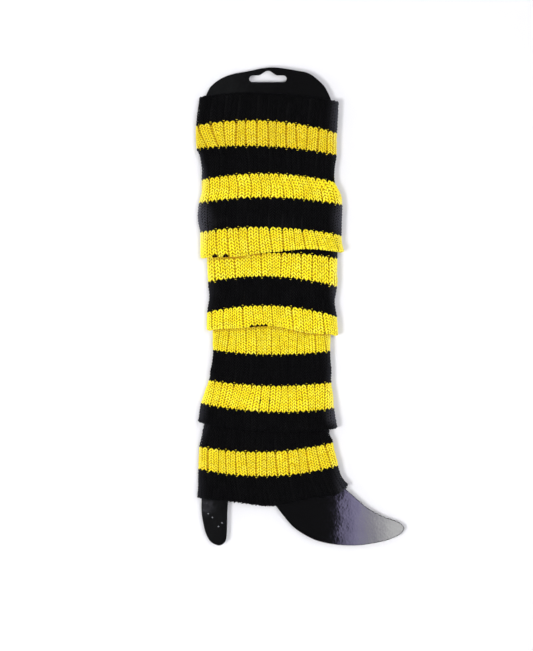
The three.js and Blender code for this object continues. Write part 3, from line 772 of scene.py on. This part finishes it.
for tier, (lines, stripes) in STRIPES.items():
    folded = tier in FOLDED
    bottom, top = lines[0][3], lines[-1][3]
    rows = course_rows(lines, stripes)
    under = 0 if tier == "tier_1" else FOLD_REACH - 0.5  # how much of the tier's top its fold hides
    turn = top - bottom - WALL
    last = turn + UNDER_FOLD if folded else top - bottom
    rib = np.arange(RIBS)
    courses = []
    for number, (yarn, start, end) in enumerate(rows):
        middle = (start + end) / 2
        if end < under - HIDDEN_COURSES * COURSE or middle > last:
            continue
        pulled = float(curve_through(lines, 3, np.array([top - middle]))[0, -1])
        wale = WALE_SHARE[0] + (WALE_SHARE[1] - WALE_SHARE[0]) * pulled
        groove = purl_yarn(rows, number)
        # Painted shade in the groove, more where the ribs are pulled open; a changing stripe's rungs take their own.
        if groove == yarn:
            fullness, shade = 1.0, 0.45 + 0.2 * pulled
        else:
            fullness, shade = CHANGE_RUNG[groove]
        courses += [
            ("knit", (rib + 0.5 - wale / 2) / RIBS, middle, end - start, 0.62, yarn, wale, KNIT_SHADE * pulled, 1.0),
            ("knit", (rib + 0.5 + wale / 2) / RIBS, middle, end - start, 0.62, yarn, wale, KNIT_SHADE * pulled, 1.0),
            ("purl", rib / RIBS, middle, end - start, 1.75, groove, wale, shade, fullness),
        ]
    ends = {"tier_1": (0.5, 1), "tier_4": (top - bottom - 0.5, -1)}
    if tier in ends:
        run, facing = ends[tier]
        for wale_at in (0, 1 / 3, 2 / 3):
            courses.append(("edge", (rib + wale_at) / RIBS, run, COURSE * facing, 1.0 if wale_at else 1.5, BLACK,
                            1 / 3, 0.3, 1.0))
    parts = {YELLOW: [], BLACK: []}
    for kind, shares, run, height, depth, yarn, wale, shade, fullness in courses:
        at, out, up, round_mm, down_mm = facing_of(tier, shares, np.full(RIBS, run), depth)
        wide = np.cross(up, out)
        at = at + wide * chance.normal(0, 0.07, (RIBS, 1)) + up * chance.normal(0, 0.07, (RIBS, 1))
        out = out + wide * chance.normal(0, 0.05, (RIBS, 1))
        up = (up + wide * chance.normal(0, 0.05, (RIBS, 1))) * np.sign(height)
        thick = chance.normal(fullness, 0.04, RIBS)
        size = np.stack([round_mm / RIBS * wale / WALE * thick, abs(height) * down_mm / COURSE * thick, thick], axis=-1)
        shade = np.maximum(shade_under(tier, at, out), shade)
        points = {"at": at, "out": out, "up": up, "size": size, "shade": shade}
        peeking = np.zeros(RIBS, dtype=bool)
        if folded and kind == "knit" and 1.2 < run - turn < 4.6:
            for low, high in PEEKS.get(tier, []):
                peeking |= (at[:, 0] > low) & (at[:, 0] < high) & (at[:, 2] > 0)
        for colour, chosen in ((yarn, ~peeking), (BLACK, peeking)):
            if chosen.any():
                parts[colour].append((kind, {key: value[chosen] for key, value in points.items()}))
    for colour, made in parts.items():
        joined = bmesh.new()
        for kind, tree, values in (
            ("knit", knit_tree, {}),
            ("purl", purl_tree, {"Wale width": PURL * MM, "Yarn thickness": RUNG * MM}),
            ("edge", purl_tree, {"Yarn thickness": EDGE_LOOP * MM}),
        ):
            chosen = [points for k, points in made if k == kind]
            if chosen:
                together = {key: np.concatenate([points[key] for points in chosen]) for key in chosen[0]}
                joined.from_mesh(stitches_on(f"{tier}_{colour}_{kind}", tree, together, values, yarns[colour]))
        for face in joined.faces:
            face.material_index = 0
        whole = bpy.data.meshes.new(f"{tier}_{colour}_stitches")
        joined.to_mesh(whole)
        joined.free()
        spots = np.empty(len(whole.vertices) * 3)
        whole.vertices.foreach_get("co", spots)
        spots = spots.reshape(-1, 3) / MM - (slot_line, hem_line, card_level)
        spots[:, 2] = np.maximum(spots[:, 2], PRESSED - REST_HEIGHT)
        whole.vertices.foreach_set("co", placed(spots).ravel())
        # Painted sheen at the tube's rounded sides, per point.
        whole.attributes.new("painted_sheen", "FLOAT", "POINT").data.foreach_set("value", painted_sheen_at(tier, spots))
        whole.materials.append(yarns[colour])
        whole.shade_smooth()
        piece = mesh_object(f"{tier}_{colour}_stitches", whole)
        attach(piece, "root")
    shell = shells[tier]
    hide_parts(tier)
    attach(shell, "root")

# Surface, light and camera
# A plain white sweep under soft studio light from the lower left, with the camera straight above at the
# photograph's angle. A small panel high over the toe is what the bowed toe of the gloss card mirrors.
PHOTO_FRAME = (533, 651)
PIXEL = 0.85  # mm that one pixel of the photograph covers
SLOT_PIXEL = (268.8, 505.0)  # where the slot's middle line and the lowest point of the hem lie in the photograph
CAMERA_HEIGHT = 2.4
PANEL_LIGHT = 16.0
PANEL_REACH = 0.2
# What hangs over the table, as the gloss card mirrors it: how far to the right, as a sine, then red, green
# and blue.
PANEL = [(-0.05, 0.010, 0.011, 0.012), (-0.025, 0.0095, 0.0100, 0.0105), (-0.012, 0.0042, 0.0046, 0.0046),
         (-0.002, 0.0005, 0.0005, 0.0005), (0.062, 0, 0, 0), (0.070, 0.22, 0.20, 0.34), (0.090, 0.38, 0.35, 0.56),
         (0.115, 0.44, 0.43, 0.49), (0.155, 0.95, 0.95, 0.95)]

floor = bpy.data.meshes.new("floor")
floor.from_pydata([(-4, -4, 0), (4, -4, 0), (4, 4, 0), (-4, 4, 0)], [], [(0, 1, 2, 3)])
sweep, tree, shader = new_material("white_paper_sweep")
shader.inputs["Base Color"].default_value = linear("#D8D8DA")
shader.inputs["Roughness"].default_value = 0.9
shader.inputs["Specular IOR Level"].default_value = 0.1
floor.materials.append(sweep)
stage = mesh_object("floor", floor)

world = bpy.data.worlds.new("studio")
world.use_nodes = True
bpy.context.scene.world = world
tree = world.node_tree
aim = add_node(tree, "ShaderNodeTexCoord").outputs["Generated"]
height = add_node(tree, "ShaderNodeSeparateXYZ", Vector=aim).outputs["Z"]
across = add_node(tree, "ShaderNodeSeparateXYZ", Vector=aim).outputs["X"]
sideways = add_node(tree, "ShaderNodeMapRange", Value=across, From__Min=-PANEL_REACH, From__Max=PANEL_REACH)
panel = add_node(tree, "ShaderNodeValToRGB", Fac=sideways.outputs["Result"])
stops = panel.color_ramp.elements
stops[0].color = stops[1].color = (0, 0, 0, 1)
for direction, *shade in PANEL:
    stops.new(0.5 + 0.5 * direction / PANEL_REACH).color = (*shade, 1)
stops.remove(stops[0])
stops.remove(stops[-1])
overhead = add_node(tree, "ShaderNodeMapRange", Value=height, From__Min=0.90, From__Max=0.96)
around = add_node(tree, "ShaderNodeMapRange", Value=height, From__Min=0.2, From__Max=0.85, To__Min=1.0, To__Max=0.02)
up_card = add_node(tree, "ShaderNodeSeparateXYZ", Vector=aim).outputs["Y"]
from_foot = add_node(tree, "ShaderNodeMapRange", Value=up_card, From__Min=-0.09, From__Max=0.09,
                     To__Min=0.45 * PANEL_LIGHT, To__Max=PANEL_LIGHT)
bright = add_node(tree, "ShaderNodeMath", {"operation": "MULTIPLY"}, _0=overhead.outputs["Result"],
                  _1=from_foot.outputs["Result"])
lit = add_node(tree, "ShaderNodeVectorMath", {"operation": "MULTIPLY_ADD"}, _0=panel.outputs["Color"],
               _1=bright.outputs[0], _2=around.outputs["Result"])
tree.links.new(lit.outputs["Vector"], tree.nodes["Background"].inputs["Color"])
tree.nodes["Background"].inputs["Strength"].default_value = 1.0


def soft_light(name, place, aim_at, size, watts, hex_colour="#FFFFFF"):
    data = bpy.data.lights.new(name, "AREA")
    data.shape = "RECTANGLE"
    data.size, data.size_y = size
    data.energy = watts
    data.color = linear(hex_colour)[:3]
    light = bpy.data.objects.new(name, data)
    bpy.context.collection.objects.link(light)
    light.location = place
    light.rotation_euler = (Vector(aim_at) - Vector(place)).to_track_quat("-Z", "Y").to_euler()
    return light


soft_light("key", (-1.0, -0.42, 2.0), (0, 0, 0), (0.55, 0.55), 32)
soft_light("fill", (1.1, 0.9, 2.2), (0, 0, 0), (1.4, 1.4), 7)
soft_light("left edge", (-1.3, 0.05, 0.30), (0, 0.05, 0), (0.5, 0.9), 5)
soft_light("right edge", (1.3, 0.05, 0.30), (0, 0.05, 0), (0.5, 0.9), 3)
pool = bpy.data.objects.new("middle", bpy.data.lights.new("middle", "SPOT"))
bpy.context.collection.objects.link(pool)
pool.data.energy = 30
pool.data.spot_size = math.radians(13.5)
pool.data.spot_blend = 1.0
pool.data.shadow_soft_size = 0.25
pool.location = (-0.35, -0.25, 1.9)
pool.rotation_euler = (Vector((0, -0.01, 0)) - pool.location).to_track_quat("-Z", "Y").to_euler()

frame_middle = (
    ((PHOTO_FRAME[0] / 2 - SLOT_PIXEL[0]) * PIXEL + slot_line) * MM,
    ((SLOT_PIXEL[1] - PHOTO_FRAME[1] / 2) * PIXEL + hem_line) * MM,
)
lens = bpy.data.cameras.new("camera")
lens.sensor_fit = "AUTO"
lens.sensor_width = 36
lens.lens = 36 * CAMERA_HEIGHT / (PHOTO_FRAME[1] * PIXEL * MM)
lens.clip_end = 20
camera = bpy.data.objects.new("camera", lens)
bpy.context.collection.objects.link(camera)
camera.location = (*frame_middle, CAMERA_HEIGHT + card_level * MM)
bpy.context.scene.camera = camera
bpy.context.scene.view_settings.view_transform = "Standard"
